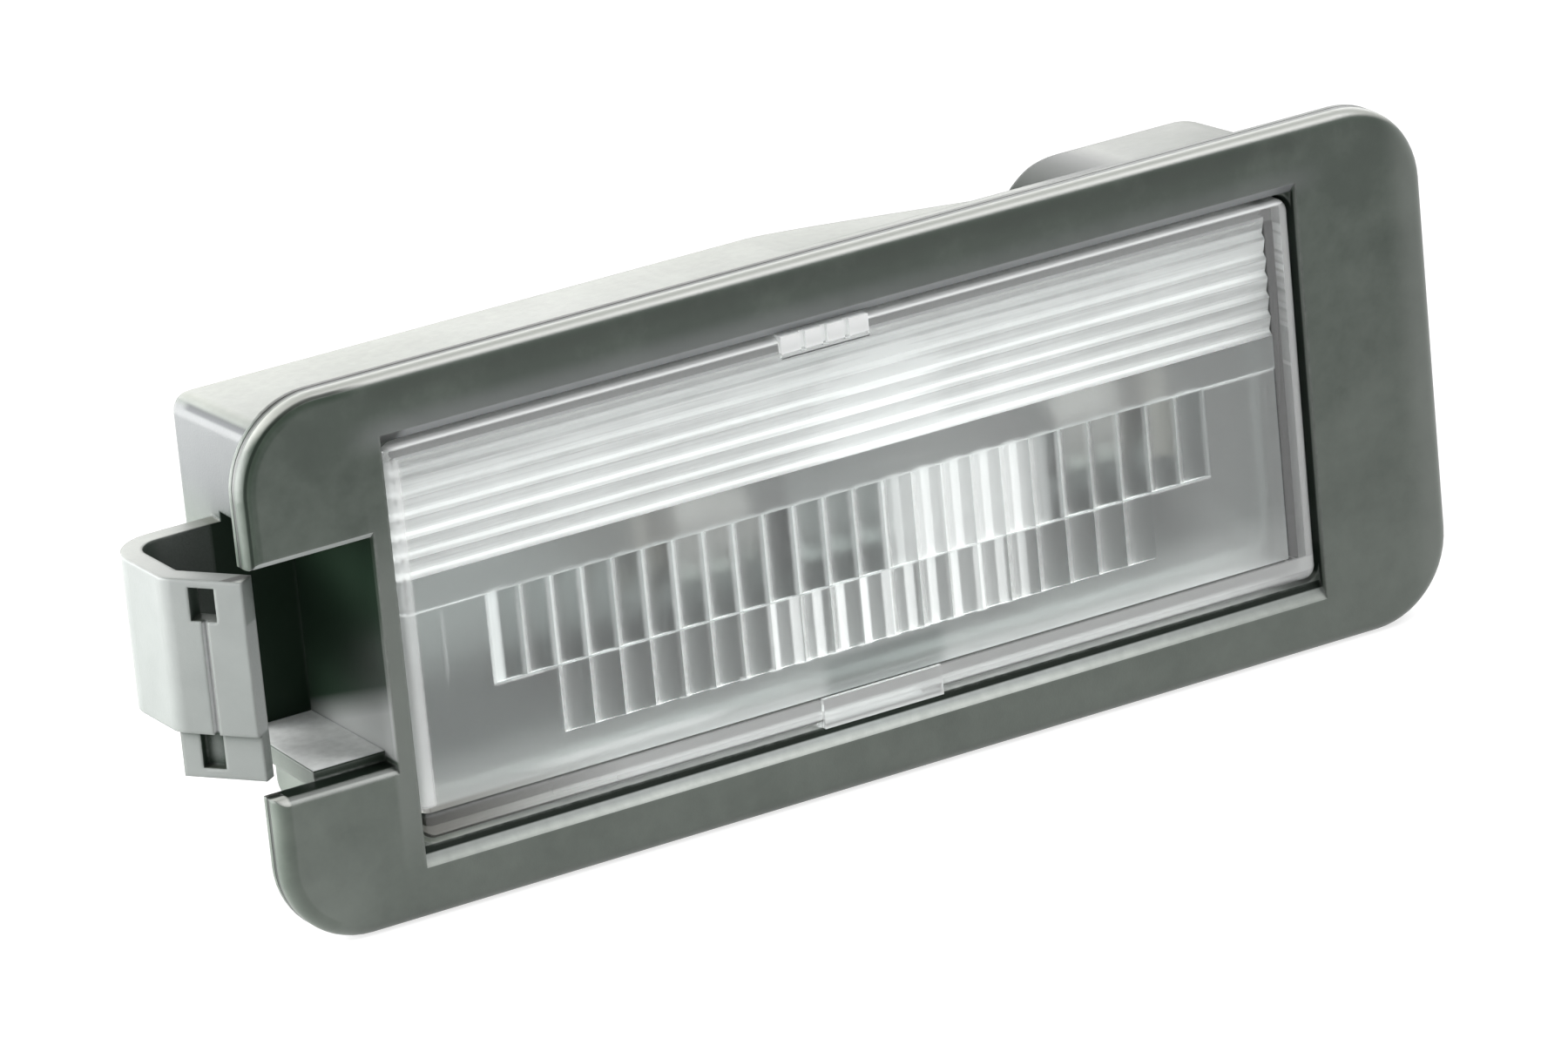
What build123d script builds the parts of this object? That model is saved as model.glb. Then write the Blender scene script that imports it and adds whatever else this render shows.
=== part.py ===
from build123d import *
import math
import os

# Number plate lamp for a car: a black housing with a bezel, a clear fluted lens, and a festoon bulb
# in front of a bright reflector tray. Millimetres. X runs along the lamp to the right, Y runs from the
# lens to the back, Z is up. The origin is the centre of the bezel's seating face on the car's panel.

# Bezel
bezel_length = 82.6
bezel_height = 34.0
bezel_thickness = 1.7
bezel_corner = 5.5
bezel_edge_round = 0.8

# Lens
lens_length = 63.4
lens_height = 24.8
lens_plate = 2.0
lens_corner = 0.8
lens_edge_round = 0.5
lens_recess = 0.4
lens_gap = 0.3
lens_skirt_wall = 1.2
lens_skirt_depth = 1.6
lens_seat_width = 1.0

# Lens optics on the back of the plate, heights measured from the lamp's centre line
prism_count = 6
prism_top = 11.0
prism_pitch = 1.25
prism_rise = 0.5
prism_crest_share = 0.72
lens_step = 0.25
lens_step_top = 1.35
flute_pitch = 2.1
flute_rise = 0.3
flute_row_length = 50.4
flute_row_drop = 5.7
low_row_length = 42.0
low_row_drop = 4.2
low_row_gap = 0.1

# Snap tabs that hold the lens
top_tab_x = -1.7
top_tab_width = 6.1
top_tab_cover = 0.7
bottom_tab_x = 0.0
bottom_tab_width = 8.4
bottom_tab_cover = 1.7
tab_proud = 0.3
tab_gap = 0.1
tab_groove_count = 3
tab_groove = 0.35
catch_reach = 0.7
catch_depth = 1.0
catch_inset = 0.7
catch_clearance = 0.2

# Housing
side_wall = 1.45
end_wall = 1.1
end_box = 4.8
rear_wall = 1.6
long_side_draft = 3.3
end_draft = 2.0
left_body_corner = 1.2
right_body_corner = 4.0
rear_edge_round = 0.8
window_bevel = 0.7
window_sill = 1.1
core_wall = 1.5

# Sloping relief at the back of the top wall, beside the round-shouldered hump at the right
relief_start_x = 2.0
relief_end_x = 21.3
relief_depth = 1.95
relief_front = 9.6
relief_wall = 1.1
hump_shoulder = 4.2

# Notch in the bezel and the spring clip behind it
notch_z = 0.1
notch_height = 14.4
notch_edge_round = 0.4
notch_step = 0.6
pocket_floor = 1.2
clip_pocket_depth = 9.2
clip_z = 0.4
clip_height = 12.6
clip_thickness = 1.3
clip_standoff = 6.95
clip_bend = 2.4
clip_knee_y = 3.3
clip_knee_bend = 1.2
clip_tip_x = 3.3
clip_tip_y = -0.8
clip_window_width = 1.7
clip_window_height = 2.1
clip_window_drop = 0.5
clip_window_along = 1.5
clip_foot_height = 2.9
clip_foot_along = -0.3
clip_foot_step = 0.4
clip_slot_along = 1.0
clip_slot_width = 1.5
clip_slot_height = 2.3
clip_slot_floor = 0.3
clip_groove = 0.35

# Fixed hook on the right end
panel_gap = 2.2
hook_height = 10.0
hook_reach = 2.4
hook_land = 1.2
hook_length = 4.8
hook_root = 0.8

# Festoon bulb, lying along X
bulb_x = 5.0
bulb_length = 36.0
glass_diameter = 9.6
glass_wall = 0.5
glass_straight = 16.8
glass_shoulder = 2.2
neck_diameter = 6.6
neck_length = 2.9
cap_diameter = 7.8
cap_wall = 0.35
cap_length = 5.0
cap_cone = 2.2
cap_tip_diameter = 2.4
filament_length = 12.0
filament_diameter = 0.9
wire_diameter = 0.4
wire_clearance = 0.02
bulb_front_clearance = 1.2
bulb_rear_clearance = 0.5

# Reflector tray
reflector_wall = 0.8
reflector_clearance = 0.2
reflector_rim_drop = 0.5
reflector_slope = 3.5
reflector_corner = 2.0
slot_clearance = 0.3

# Contacts
strip_thickness = 0.6
strip_bend = 0.9
blade_bend = 0.6
leg_width = 6.0
leg_hole = 4.0
leg_hole_clearance = 0.1
leg_margin = 1.2
leg_lip = 1.3
leg_lip_flare = 1.0
strip_gap = 1.3
channel_clearance = 0.15

# Plug socket on the back
blade_pitch = 5.0
blade_width = 2.8
blade_length = 6.5
socket_offset = 3.0
socket_side_room = 2.5
socket_height_room = 1.6
socket_wall = 1.2
socket_depth = 9.0
socket_round = 1.0
latch_width = 4.0
latch_rise = 0.9
latch_length = 2.4

# Levels along Y, from the bezel's face to the back
y_seat = 0.0
y_face = y_seat - bezel_thickness
y_lens = y_face + lens_recess
y_plate = y_lens + lens_plate
y_ledge = y_plate + lens_skirt_depth
y_optics = y_plate + max(prism_rise, lens_step + flute_rise)
y_bulb = y_optics + bulb_front_clearance + glass_diameter / 2
y_tray = y_bulb + glass_diameter / 2 + bulb_rear_clearance
y_floor = y_tray + reflector_wall
y_back = y_floor + rear_wall

# Half sizes of the lens pocket, the chamber behind it and the drafted body
pocket_x = lens_length / 2 + lens_gap
pocket_z = lens_height / 2 + lens_gap
chamber_x = lens_length / 2 - lens_seat_width
chamber_z = lens_height / 2 - lens_seat_width
notch_x = pocket_x + end_wall
body_x = notch_x + end_box
body_z = pocket_z + side_wall
back_x = body_x - y_back * math.tan(math.radians(end_draft))
back_z = body_z - y_back * math.tan(math.radians(long_side_draft))
notch_top = notch_z + notch_height / 2
notch_bottom = notch_z - notch_height / 2
pocket_bottom = notch_bottom + notch_step

# Bulb and contact places along X, measured from the bulb's middle
cone_base = bulb_length / 2 - cap_cone
cone_slope = (cap_diameter - cap_tip_diameter) / 2 / cap_cone
leg_inside = cone_base + (cap_diameter / 2 - leg_hole / 2 + leg_hole_clearance) / cone_slope
leg_middle = leg_inside + strip_thickness / 2
left_leg_x = bulb_x - leg_middle
right_leg_x = bulb_x + leg_middle
y_leg_top = y_bulb - leg_hole / 2 - leg_margin
y_strip = y_floor + strip_thickness / 2
socket_x = right_leg_x + strip_thickness / 2 + socket_offset
left_blade_x = socket_x - blade_pitch / 2
right_blade_x = socket_x + blade_pitch / 2
blade_top = -leg_width / 2 - strip_gap
blade_bottom = blade_top - blade_width
socket_z = (blade_top + blade_bottom) / 2
y_blade_end = y_back + blade_length

# Overlap that lets two shapes of one moulding fuse
blend = 0.3


def block(x_low, x_high, y_low, y_high, z_low, z_high):
    """Box between two corners."""
    centre = Pos((x_low + x_high) / 2, (y_low + y_high) / 2, (z_low + z_high) / 2)
    return centre * Box(x_high - x_low, y_high - y_low, z_high - z_low)


def facing(y):
    """Plane across the lamp at one depth, its own axes along X and Z."""
    return Plane.XZ.offset(-y)


def plate(length, height, corner, y_low, y_high):
    """Plate with round corners between two depths."""
    outline = facing(y_low) * RectangleRounded(length, height, corner)
    return extrude(outline, amount=-(y_high - y_low))


def along_x(points, x_low, x_high):
    """Prism along X over a section given as (y, z) points."""
    outline = Plane.YZ * make_face(Polyline(*points, close=True))
    return Pos(x_low, 0, 0) * extrude(outline, amount=x_high - x_low)


def drafted_block(front, back):
    """Block with four leaning sides between two rectangles, each given as (y, half length, half height)."""
    y_low, x_low, z_low = front
    y_high, x_high, z_high = back
    reach_x = max(x_low, x_high)
    reach_z = max(z_low, z_high)
    section = [(y_low, -z_low), (y_low, z_low), (y_high, z_high), (y_high, -z_high)]
    plan = [(-x_low, y_low), (x_low, y_low), (x_high, y_high), (-x_high, y_high)]
    ends = extrude(make_face(Polyline(*plan, close=True)), amount=reach_z, both=True)
    return along_x(section, -reach_x, reach_x) & ends


def corner_edges(shape):
    """Edges of a drafted block that run from front to back."""
    return shape.edges().filter_by(lambda edge: abs(edge.tangent_at(0.5).Y) > 0.5)


def bezel():
    """Front frame with a round edge, before its openings are cut."""
    frame = plate(bezel_length, bezel_height, bezel_corner, y_face, y_seat)
    return fillet(frame.edges().group_by(Axis.Y)[0], bezel_edge_round)


def body():
    """Drafted box behind the bezel, cut away below the clip's pocket at the left end."""
    shell = drafted_block((y_seat, body_x, body_z), (y_back, back_x, back_z))
    shell = fillet(corner_edges(shell).group_by(Axis.X)[0], left_body_corner)
    shell = fillet(corner_edges(shell).group_by(Axis.X)[-1], right_body_corner)
    shell = fillet(shell.edges().group_by(Axis.Y)[-1], rear_edge_round)
    return shell - block(-body_x, -notch_x, y_seat, y_back, -body_z, pocket_bottom - pocket_floor)


def window_cut():
    """Lens pocket with a bevel above and a sloping sill below, and the chamber behind it."""
    pocket = plate(2 * pocket_x, 2 * pocket_z, lens_corner + lens_gap, y_face, y_ledge)
    chamber = block(-chamber_x, chamber_x, y_ledge, y_floor, -chamber_z, chamber_z)
    bevel_points = [
        (y_face, -pocket_z - window_sill),
        (y_face + window_bevel, -pocket_z),
        (y_face + window_bevel, pocket_z),
        (y_face, pocket_z + window_bevel),
    ]
    return pocket + chamber + along_x(bevel_points, -pocket_x, pocket_x)


def catch_cuts():
    """Slots in the pocket's long walls for the lens catches."""
    slots = []
    low = y_plate - catch_clearance
    high = y_plate + catch_depth + catch_clearance
    reach = lens_height / 2 + catch_reach + catch_clearance
    for side, x, width in ((1, top_tab_x, top_tab_width), (-1, bottom_tab_x, bottom_tab_width)):
        half = width / 2 - catch_inset + catch_clearance
        z_low, z_high = sorted((side * (pocket_z - blend), side * reach))
        slots.append(block(x - half, x + half, low, high, z_low, z_high))
    return slots


def notch_cut():
    """Opening at the left end, through the bezel and, one step higher, into the clip's pocket."""
    left = -bezel_length / 2 - blend
    deep = block(left, -notch_x, y_face - blend, clip_pocket_depth, pocket_bottom, notch_top)
    gate = block(left, -notch_x, y_face - blend, y_seat, notch_bottom, notch_top)
    edge = [
        (y_face, notch_bottom - notch_edge_round),
        (y_face + notch_edge_round, notch_bottom),
        (y_face + notch_edge_round, notch_top),
        (y_face, notch_top + notch_edge_round),
    ]
    return deep + gate + along_x(edge, left, -notch_x)


def core_cuts():
    """Hollows moulded from the back into both end boxes, so that the walls stay even."""
    inner = chamber_x + core_wall
    outer = back_x - core_wall
    height = chamber_z
    right = block(inner, outer, y_ledge + core_wall, y_back, -height, height)
    left = block(-outer, -inner, clip_pocket_depth + clip_thickness + blend, y_back, pocket_bottom, height)
    above = block(-outer, -inner, y_ledge + core_wall, y_back, notch_top + core_wall, height)
    return [right, left + above]


def clip_path():
    """Middle line of the spring clip: out of the pocket's back wall, forward, and in to the tip."""
    leaf_x = -(body_x + clip_standoff - clip_thickness / 2)
    web_y = clip_pocket_depth + clip_thickness / 2
    root = (-(notch_x + core_wall), web_y)
    knee = (leaf_x, clip_knee_y)
    tip = (-(body_x + clip_tip_x), clip_tip_y)
    return [root, (leaf_x, web_y), knee, tip]


def spring_clip():
    """Bent leaf with a release ramp, a small window, a groove and a foot set back below the ramp."""
    points = clip_path()
    line = FilletPolyline(*points, radius=[clip_bend, clip_knee_bend])
    low = clip_z - clip_height / 2
    high = clip_z + clip_height / 2
    leaf = Pos(0, 0, low) * extrude(trace(line, clip_thickness), amount=clip_height, dir=(0, 0, 1))
    knee = Vector(*points[2])
    along = (Vector(*points[3]) - knee).normalized()
    outward = Vector(along.Y, -along.X, 0)
    ramp = Plane(origin=knee, x_dir=along, z_dir=outward)
    skin = clip_thickness / 2
    reach = 2 * (clip_standoff + clip_pocket_depth)
    foot_top = low + clip_foot_height
    foot_middle = (low + foot_top) / 2
    behind_at = Pos(clip_foot_along - reach / 2, foot_middle, 0)
    behind_foot = ramp * behind_at * Box(reach, clip_foot_height, reach)
    step = ramp * Pos(0, foot_middle, skin) * Box(reach, clip_foot_height, 2 * clip_foot_step)
    window_middle = clip_window_along + clip_window_width / 2
    window_at = Pos(window_middle, high - clip_window_drop - clip_window_height / 2, 0)
    window = ramp * window_at * Box(clip_window_width, clip_window_height, 3 * clip_thickness)
    slot_at = Pos(clip_slot_along + clip_slot_width / 2, foot_top - clip_slot_height / 2, clip_slot_floor)
    slot = ramp * slot_at * Box(clip_slot_width, clip_slot_height, clip_thickness)
    groove_top = high - clip_window_drop - clip_window_height
    groove_at = Pos(window_middle, (groove_top + foot_top) / 2, skin)
    groove = ramp * groove_at * Box(clip_groove, groove_top - foot_top, 2 * clip_groove)
    return leaf - behind_foot - step - window - slot - groove


def hook():
    """Fixed lug that goes behind the panel's edge on the right."""
    root = body_x - hook_root
    points = [
        (root, panel_gap),
        (body_x + hook_reach, panel_gap),
        (body_x + hook_reach, panel_gap + hook_land),
        (root, panel_gap + hook_length),
    ]
    lug = extrude(make_face(Polyline(*points, close=True)), amount=hook_height / 2, both=True)
    return lug


def socket_half_size():
    """Half sizes of the plug socket's opening."""
    return blade_pitch / 2 + socket_side_room, blade_width / 2 + socket_height_room


def plug_socket():
    """Open shroud round the two blades, with a latch nib on top."""
    half_x, half_z = socket_half_size()
    place = Pos(socket_x, 0, socket_z)
    start = y_back - blend
    end = y_back + socket_depth
    outside = plate(2 * (half_x + socket_wall), 2 * (half_z + socket_wall), socket_round, start, end)
    inside = block(-half_x, half_x, y_back, end, -half_z, half_z)
    top = half_z + socket_wall
    nib_points = [
        (end - latch_length, top - blend),
        (end - latch_length, top + latch_rise),
        (end - latch_length / 2, top + latch_rise),
        (end, top),
        (end, top - blend),
    ]
    return place * (outside - inside + along_x(nib_points, -latch_width / 2, latch_width / 2))


def contact_cuts():
    """Channels in the chamber's floor and slots in the back wall for the two contacts."""
    room = channel_clearance
    half = strip_thickness / 2
    low = y_floor
    high = y_floor + strip_thickness
    leg = leg_width / 2
    pads = strip_pads()
    cuts = []
    for name, leg_x in (("left", left_leg_x), ("right", right_leg_x)):
        for x_low, x_high, z_low, z_high in pads[name]:
            cuts.append(block(x_low - room, x_high + room, low, high, z_low - room, z_high + room))
        pad_end = pads[name][0][1]
        cuts.append(block(leg_x - half - room, pad_end + room, low, high, -leg - room, leg + room))
    for blade_x in (left_blade_x, right_blade_x):
        x_low = blade_x - half - room
        x_high = blade_x + half + room
        cuts.append(block(x_low, x_high, low, y_back, blade_bottom - room, blade_top + room))
        bend = blade_bend - half
        cuts.append(block(x_low - bend, x_high, low, high + bend, blade_bottom - room, blade_top + room))
    return cuts


def top_relief():
    """Space cut from the top wall: a slope to the right that ends at the hump's round shoulder."""
    radius = (relief_depth ** 2 + hump_shoulder ** 2) / (2 * relief_depth)
    half_turn = math.asin(hump_shoulder / radius) / 2
    hump_x = relief_end_x + hump_shoulder
    low = (relief_end_x, back_z - relief_depth)
    shoulder = (hump_x - radius * math.sin(half_turn), back_z - radius * (1 - math.cos(half_turn)))
    high = (hump_x, back_z)
    above = back_z + blend
    lines = Curve()
    lines += ThreePointArc(low, shoulder, high)
    lines += Polyline(high, (hump_x, above), (relief_start_x, above), (relief_start_x, back_z), low)
    lean = math.radians(long_side_draft)
    reach = (y_back - relief_front) / math.cos(lean)
    return extrude(facing(y_back) * make_face(lines), amount=reach, dir=(0, -math.cos(lean), math.sin(lean)))


def relief_backing():
    """Thicker wall inside the chamber, below the relief."""
    low = back_z - relief_depth - relief_wall
    front = relief_front - relief_wall
    return block(relief_start_x, relief_end_x + hump_shoulder, front, y_floor, low, chamber_z)


def housing():
    """The one-piece moulding."""
    shell = bezel() + body() + hook()
    shell = shell - window_cut() - notch_cut() + relief_backing() - top_relief()
    for cut in catch_cuts() + core_cuts():
        shell = shell - cut
    shell = shell + spring_clip() + plug_socket()
    for cut in contact_cuts():
        shell = shell - cut
    return shell


def prism_bars():
    """Horizontal saw-tooth bars across the upper half of the lens."""
    points = [(y_plate - blend, prism_top)]
    for index in range(prism_count):
        top = prism_top - index * prism_pitch
        points.append((y_plate, top))
        points.append((y_plate + prism_rise, top - prism_crest_share * prism_pitch))
    bottom = prism_top - prism_count * prism_pitch
    points.append((y_plate, bottom))
    points.append((y_plate - blend, bottom))
    reach = lens_length / 2 - lens_skirt_wall + blend
    return along_x(points, -reach, reach)


def flute_row(length, z_low, z_high):
    """Row of upright round flutes, side by side."""
    count = round(length / flute_pitch)
    start = -count * flute_pitch / 2
    base = y_plate + lens_step
    lines = Curve()
    for index in range(count):
        left = start + index * flute_pitch
        crest = (left + flute_pitch / 2, base + flute_rise)
        lines += ThreePointArc((left, base), crest, (left + flute_pitch, base))
    lines += Polyline((-start, base), (-start, base - blend), (start, base - blend), (start, base))
    return Pos(0, 0, z_low) * extrude(make_face(lines), amount=z_high - z_low, dir=(0, 0, 1))


def lens_tab(side, x, width, cover):
    """Finger tab on one long edge, with the catch on the skirt behind it."""
    edge = lens_height / 2
    outer = pocket_z - tab_gap
    half = width / 2
    pad = block(-half, half, y_lens - tab_proud, y_lens + blend, edge - cover, edge)
    lug = block(-half, half, y_lens - tab_proud, y_plate - catch_clearance, edge - lens_skirt_wall, outer)
    tip = edge + catch_reach
    catch_points = [
        (y_plate, edge - blend),
        (y_plate, tip),
        (y_plate + catch_depth / 2, tip),
        (y_plate + catch_depth, edge),
        (y_plate + catch_depth, edge - blend),
    ]
    catch = along_x(catch_points, -half + catch_inset, half - catch_inset)
    tab = Pos(x, 0, 0) * (pad + lug + catch)
    if side < 0:
        tab = mirror(tab, about=Plane.XY)
    return tab


def tab_grooves():
    """Fine grooves across the upper tab."""
    grooves = []
    low = lens_height / 2 - top_tab_cover - blend
    half = tab_groove / 2
    for index in range(tab_groove_count):
        x = top_tab_x + (index - (tab_groove_count - 1) / 2) * top_tab_width / (tab_groove_count + 1)
        grooves.append(block(x - half, x + half, y_lens - tab_proud, y_lens, low, pocket_z))
    return grooves


def lens():
    """Clear lens: plate, skirt, prism bars, flutes and snap tabs."""
    front = plate(lens_length, lens_height, lens_corner, y_lens, y_plate)
    front = fillet(front.edges().group_by(Axis.Y)[0], lens_edge_round)
    skirt = plate(lens_length, lens_height, lens_corner, y_plate, y_ledge)
    inside_x = lens_length / 2 - lens_skirt_wall
    inside_z = lens_height / 2 - lens_skirt_wall
    skirt = skirt - block(-inside_x, inside_x, y_plate, y_ledge, -inside_z, inside_z)
    step_x = inside_x + blend
    step = block(-step_x, step_x, y_plate - blend, y_plate + lens_step, -inside_z - blend, lens_step_top)
    row_bottom = lens_step_top - flute_row_drop
    low_top = row_bottom - low_row_gap
    rows = flute_row(flute_row_length, row_bottom, lens_step_top)
    rows = rows + flute_row(low_row_length, low_top - low_row_drop, low_top)
    shape = front + skirt + step + prism_bars() + rows
    shape = shape + lens_tab(1, top_tab_x, top_tab_width, top_tab_cover)
    shape = shape + lens_tab(-1, bottom_tab_x, bottom_tab_width, bottom_tab_cover)
    for groove in tab_grooves():
        shape = shape - groove
    return shape


def reflector():
    """Sloping tray that stands on the chamber's floor, slotted for the contact legs."""
    rim = y_ledge + reflector_rim_drop
    rim_x = chamber_x - reflector_clearance
    rim_z = chamber_z - reflector_clearance

    def tray(shrink, y_end):
        x = rim_x - shrink
        z = rim_z - shrink
        form = drafted_block((rim, x, z), (y_end, x - reflector_slope, z - reflector_slope))
        return fillet(corner_edges(form), reflector_corner - shrink)

    shape = tray(0, y_floor) - tray(reflector_wall, y_tray)
    for leg_x in (left_leg_x, right_leg_x):
        low = leg_x - strip_thickness / 2 - slot_clearance
        high = leg_x + strip_thickness / 2 + strip_bend + slot_clearance
        half = leg_width / 2 + slot_clearance
        shape = shape - block(low, high, y_tray - blend, y_floor, -half, half)
    return shape


def strip_pads():
    """Flat parts of each contact on the chamber's floor, as (x low, x high, z low, z high)."""
    half = leg_width / 2
    left_start = left_leg_x + strip_thickness / 2 + strip_bend
    left_turn = left_start + blade_width
    right_turn = right_blade_x - strip_thickness / 2 - blade_bend
    right_start = right_turn - blade_width + blade_bend
    left_upright = (left_start, left_turn, blade_bottom, half)
    left_strip = (left_turn, left_blade_x, blade_bottom, blade_top)
    right_upright = (right_start, right_turn, blade_bottom, half)
    right_strip = (right_turn, right_blade_x, blade_bottom, blade_top)
    return {"left": [left_upright, left_strip], "right": [right_upright, right_strip]}


def contact(name, leg_x, outward, blade_x):
    """Stamped contact: sprung leg with a hole for the bulb's cap, strip on the floor, and plug blade."""
    pads = strip_pads()[name]
    half = strip_thickness / 2
    pad_start = pads[0][0]
    lip = (leg_x + outward * leg_lip_flare, y_leg_top - leg_lip)
    foot = (pad_start + blend, y_strip)
    heel = (leg_x, y_strip)
    leg_line = FilletPolyline(lip, (leg_x, y_leg_top), heel, foot, radius=[strip_bend, strip_bend])
    leg = extrude(trace(leg_line, strip_thickness), amount=leg_width / 2, both=True)
    hole = Pos(leg_x, y_bulb, 0) * Rot(0, 90, 0) * Cylinder(leg_hole / 2, 4 * strip_thickness)
    shape = leg - hole
    (x_low, x_high, z_low, z_high) = pads[0]
    shape = shape + block(x_low, x_high, y_floor, y_floor + strip_thickness, z_low, z_high)
    strip_start = pads[0][0]
    blade_line = FilletPolyline(
        (strip_start, y_strip), (blade_x, y_strip), (blade_x, y_blade_end), radius=blade_bend
    )
    blade = extrude(trace(blade_line, strip_thickness), amount=blade_width, dir=(0, 0, 1))
    return shape + Pos(0, 0, blade_bottom) * blade


def turned(points):
    """Solid of revolution round the bulb's axis, from (x, radius) points."""
    profile = make_face(Polyline(*points, close=True))
    return Pos(bulb_x, y_bulb, 0) * revolve(profile, axis=Axis.X)


def bulb_glass():
    """Clear tube whose shouldered ends are melted down solid round the lead wires."""
    radius = glass_diameter / 2
    neck = neck_diameter / 2
    straight = glass_straight / 2
    shoulder = straight + glass_shoulder
    end = shoulder + neck_length
    bore = wire_diameter / 2 + wire_clearance
    inner = radius - glass_wall
    outside = [(-end, bore), (-end, neck), (-shoulder, neck), (-straight, radius)]
    outside += [(straight, radius), (shoulder, neck), (end, neck), (end, bore)]
    inside = [(straight, bore), (straight, inner), (-straight, inner), (-straight, bore)]
    return turned(outside + inside)


def bulb_cap(side):
    """Metal end cap with a conical tip."""
    radius = cap_diameter / 2
    inner = radius - cap_wall
    tip = cap_tip_diameter / 2
    end = bulb_length / 2
    open_end = cone_base - cap_length
    points = [(open_end, inner), (open_end, radius), (cone_base, radius), (end, tip), (end, 0)]
    points += [(cone_base, 0), (cone_base, inner)]
    return turned([(side * x, r) for x, r in points])


def lead_wire(side):
    """Wire from the cap to the end of the filament."""
    radius = wire_diameter / 2
    start = filament_length / 2
    points = [(start, 0), (start, radius), (cone_base, radius), (cone_base, 0)]
    return turned([(side * x, r) for x, r in points])


def filament():
    """Outer form of the filament coil."""
    half = filament_length / 2
    radius = filament_diameter / 2
    return turned([(-half, 0), (-half, radius), (half, radius), (half, 0)])


def main():
    """Write every piece of the lamp to its own file."""
    pieces = {
        "housing": housing(),
        "lens": lens(),
        "reflector": reflector(),
        "contact_left": contact("left", left_leg_x, -1, left_blade_x),
        "contact_right": contact("right", right_leg_x, 1, right_blade_x),
        "bulb_glass": bulb_glass(),
        "bulb_cap_left": bulb_cap(-1),
        "bulb_cap_right": bulb_cap(1),
        "filament": filament(),
        "lead_wire_left": lead_wire(-1),
        "lead_wire_right": lead_wire(1),
    }
    os.makedirs("parts", exist_ok=True)
    for name, shape in pieces.items():
        export_step(shape, f"parts/{name}.step")


main()
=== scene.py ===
"""Number plate lamp: finishes, a wound filament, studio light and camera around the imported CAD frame."""
import math

import bpy
from mathutils import Matrix, Vector


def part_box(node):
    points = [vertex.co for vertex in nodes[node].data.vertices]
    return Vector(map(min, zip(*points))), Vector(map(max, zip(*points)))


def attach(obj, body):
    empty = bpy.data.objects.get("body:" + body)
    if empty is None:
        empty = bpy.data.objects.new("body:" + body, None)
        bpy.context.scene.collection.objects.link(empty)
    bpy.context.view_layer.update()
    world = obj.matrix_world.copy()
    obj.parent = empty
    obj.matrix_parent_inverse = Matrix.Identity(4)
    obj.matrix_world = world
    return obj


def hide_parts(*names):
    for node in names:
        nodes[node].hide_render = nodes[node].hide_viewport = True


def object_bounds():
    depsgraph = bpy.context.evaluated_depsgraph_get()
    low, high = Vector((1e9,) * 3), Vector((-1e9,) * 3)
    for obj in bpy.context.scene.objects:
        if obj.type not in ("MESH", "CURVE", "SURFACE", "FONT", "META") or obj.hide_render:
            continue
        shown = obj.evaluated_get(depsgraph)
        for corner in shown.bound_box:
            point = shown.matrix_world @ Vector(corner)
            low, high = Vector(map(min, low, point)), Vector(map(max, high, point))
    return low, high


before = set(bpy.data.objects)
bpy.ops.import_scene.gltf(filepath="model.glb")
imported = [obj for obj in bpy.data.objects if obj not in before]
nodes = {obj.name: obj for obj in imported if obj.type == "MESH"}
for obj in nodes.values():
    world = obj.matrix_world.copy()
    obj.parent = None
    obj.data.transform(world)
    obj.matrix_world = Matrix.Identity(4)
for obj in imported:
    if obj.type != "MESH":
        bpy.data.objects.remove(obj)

cad_low, cad_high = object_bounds()
scene = bpy.context.scene
scene.view_settings.view_transform = "Standard"
mm = 0.001


# Camera: the photograph's viewing point in the lamp's frame.
camera_at = Vector((-285.43, -508.45, 207.6)) * mm
camera_aim = Vector((-5.77, -1.7, 1.15)) * mm
camera_roll = math.radians(-5.52)
focal_length = 235.8
sensor_width = 36.0
nearest, farthest = 0.01, 20.0

camera_data = bpy.data.cameras.new("photo_camera")
camera_data.sensor_fit = "HORIZONTAL"
camera_data.sensor_width = sensor_width
camera_data.lens = focal_length
camera_data.clip_start = nearest
camera_data.clip_end = farthest
camera = bpy.data.objects.new("photo_camera", camera_data)
scene.collection.objects.link(camera)
turn = (camera_aim - camera_at).to_track_quat("-Z", "Y").to_matrix().to_4x4()
camera.matrix_world = Matrix.Translation(camera_at) @ turn @ Matrix.Rotation(camera_roll, 4, "Z")
scene.camera = camera


# Node helpers.
noise_reach = (0.3, 0.7)
trace_samples = 4


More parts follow.
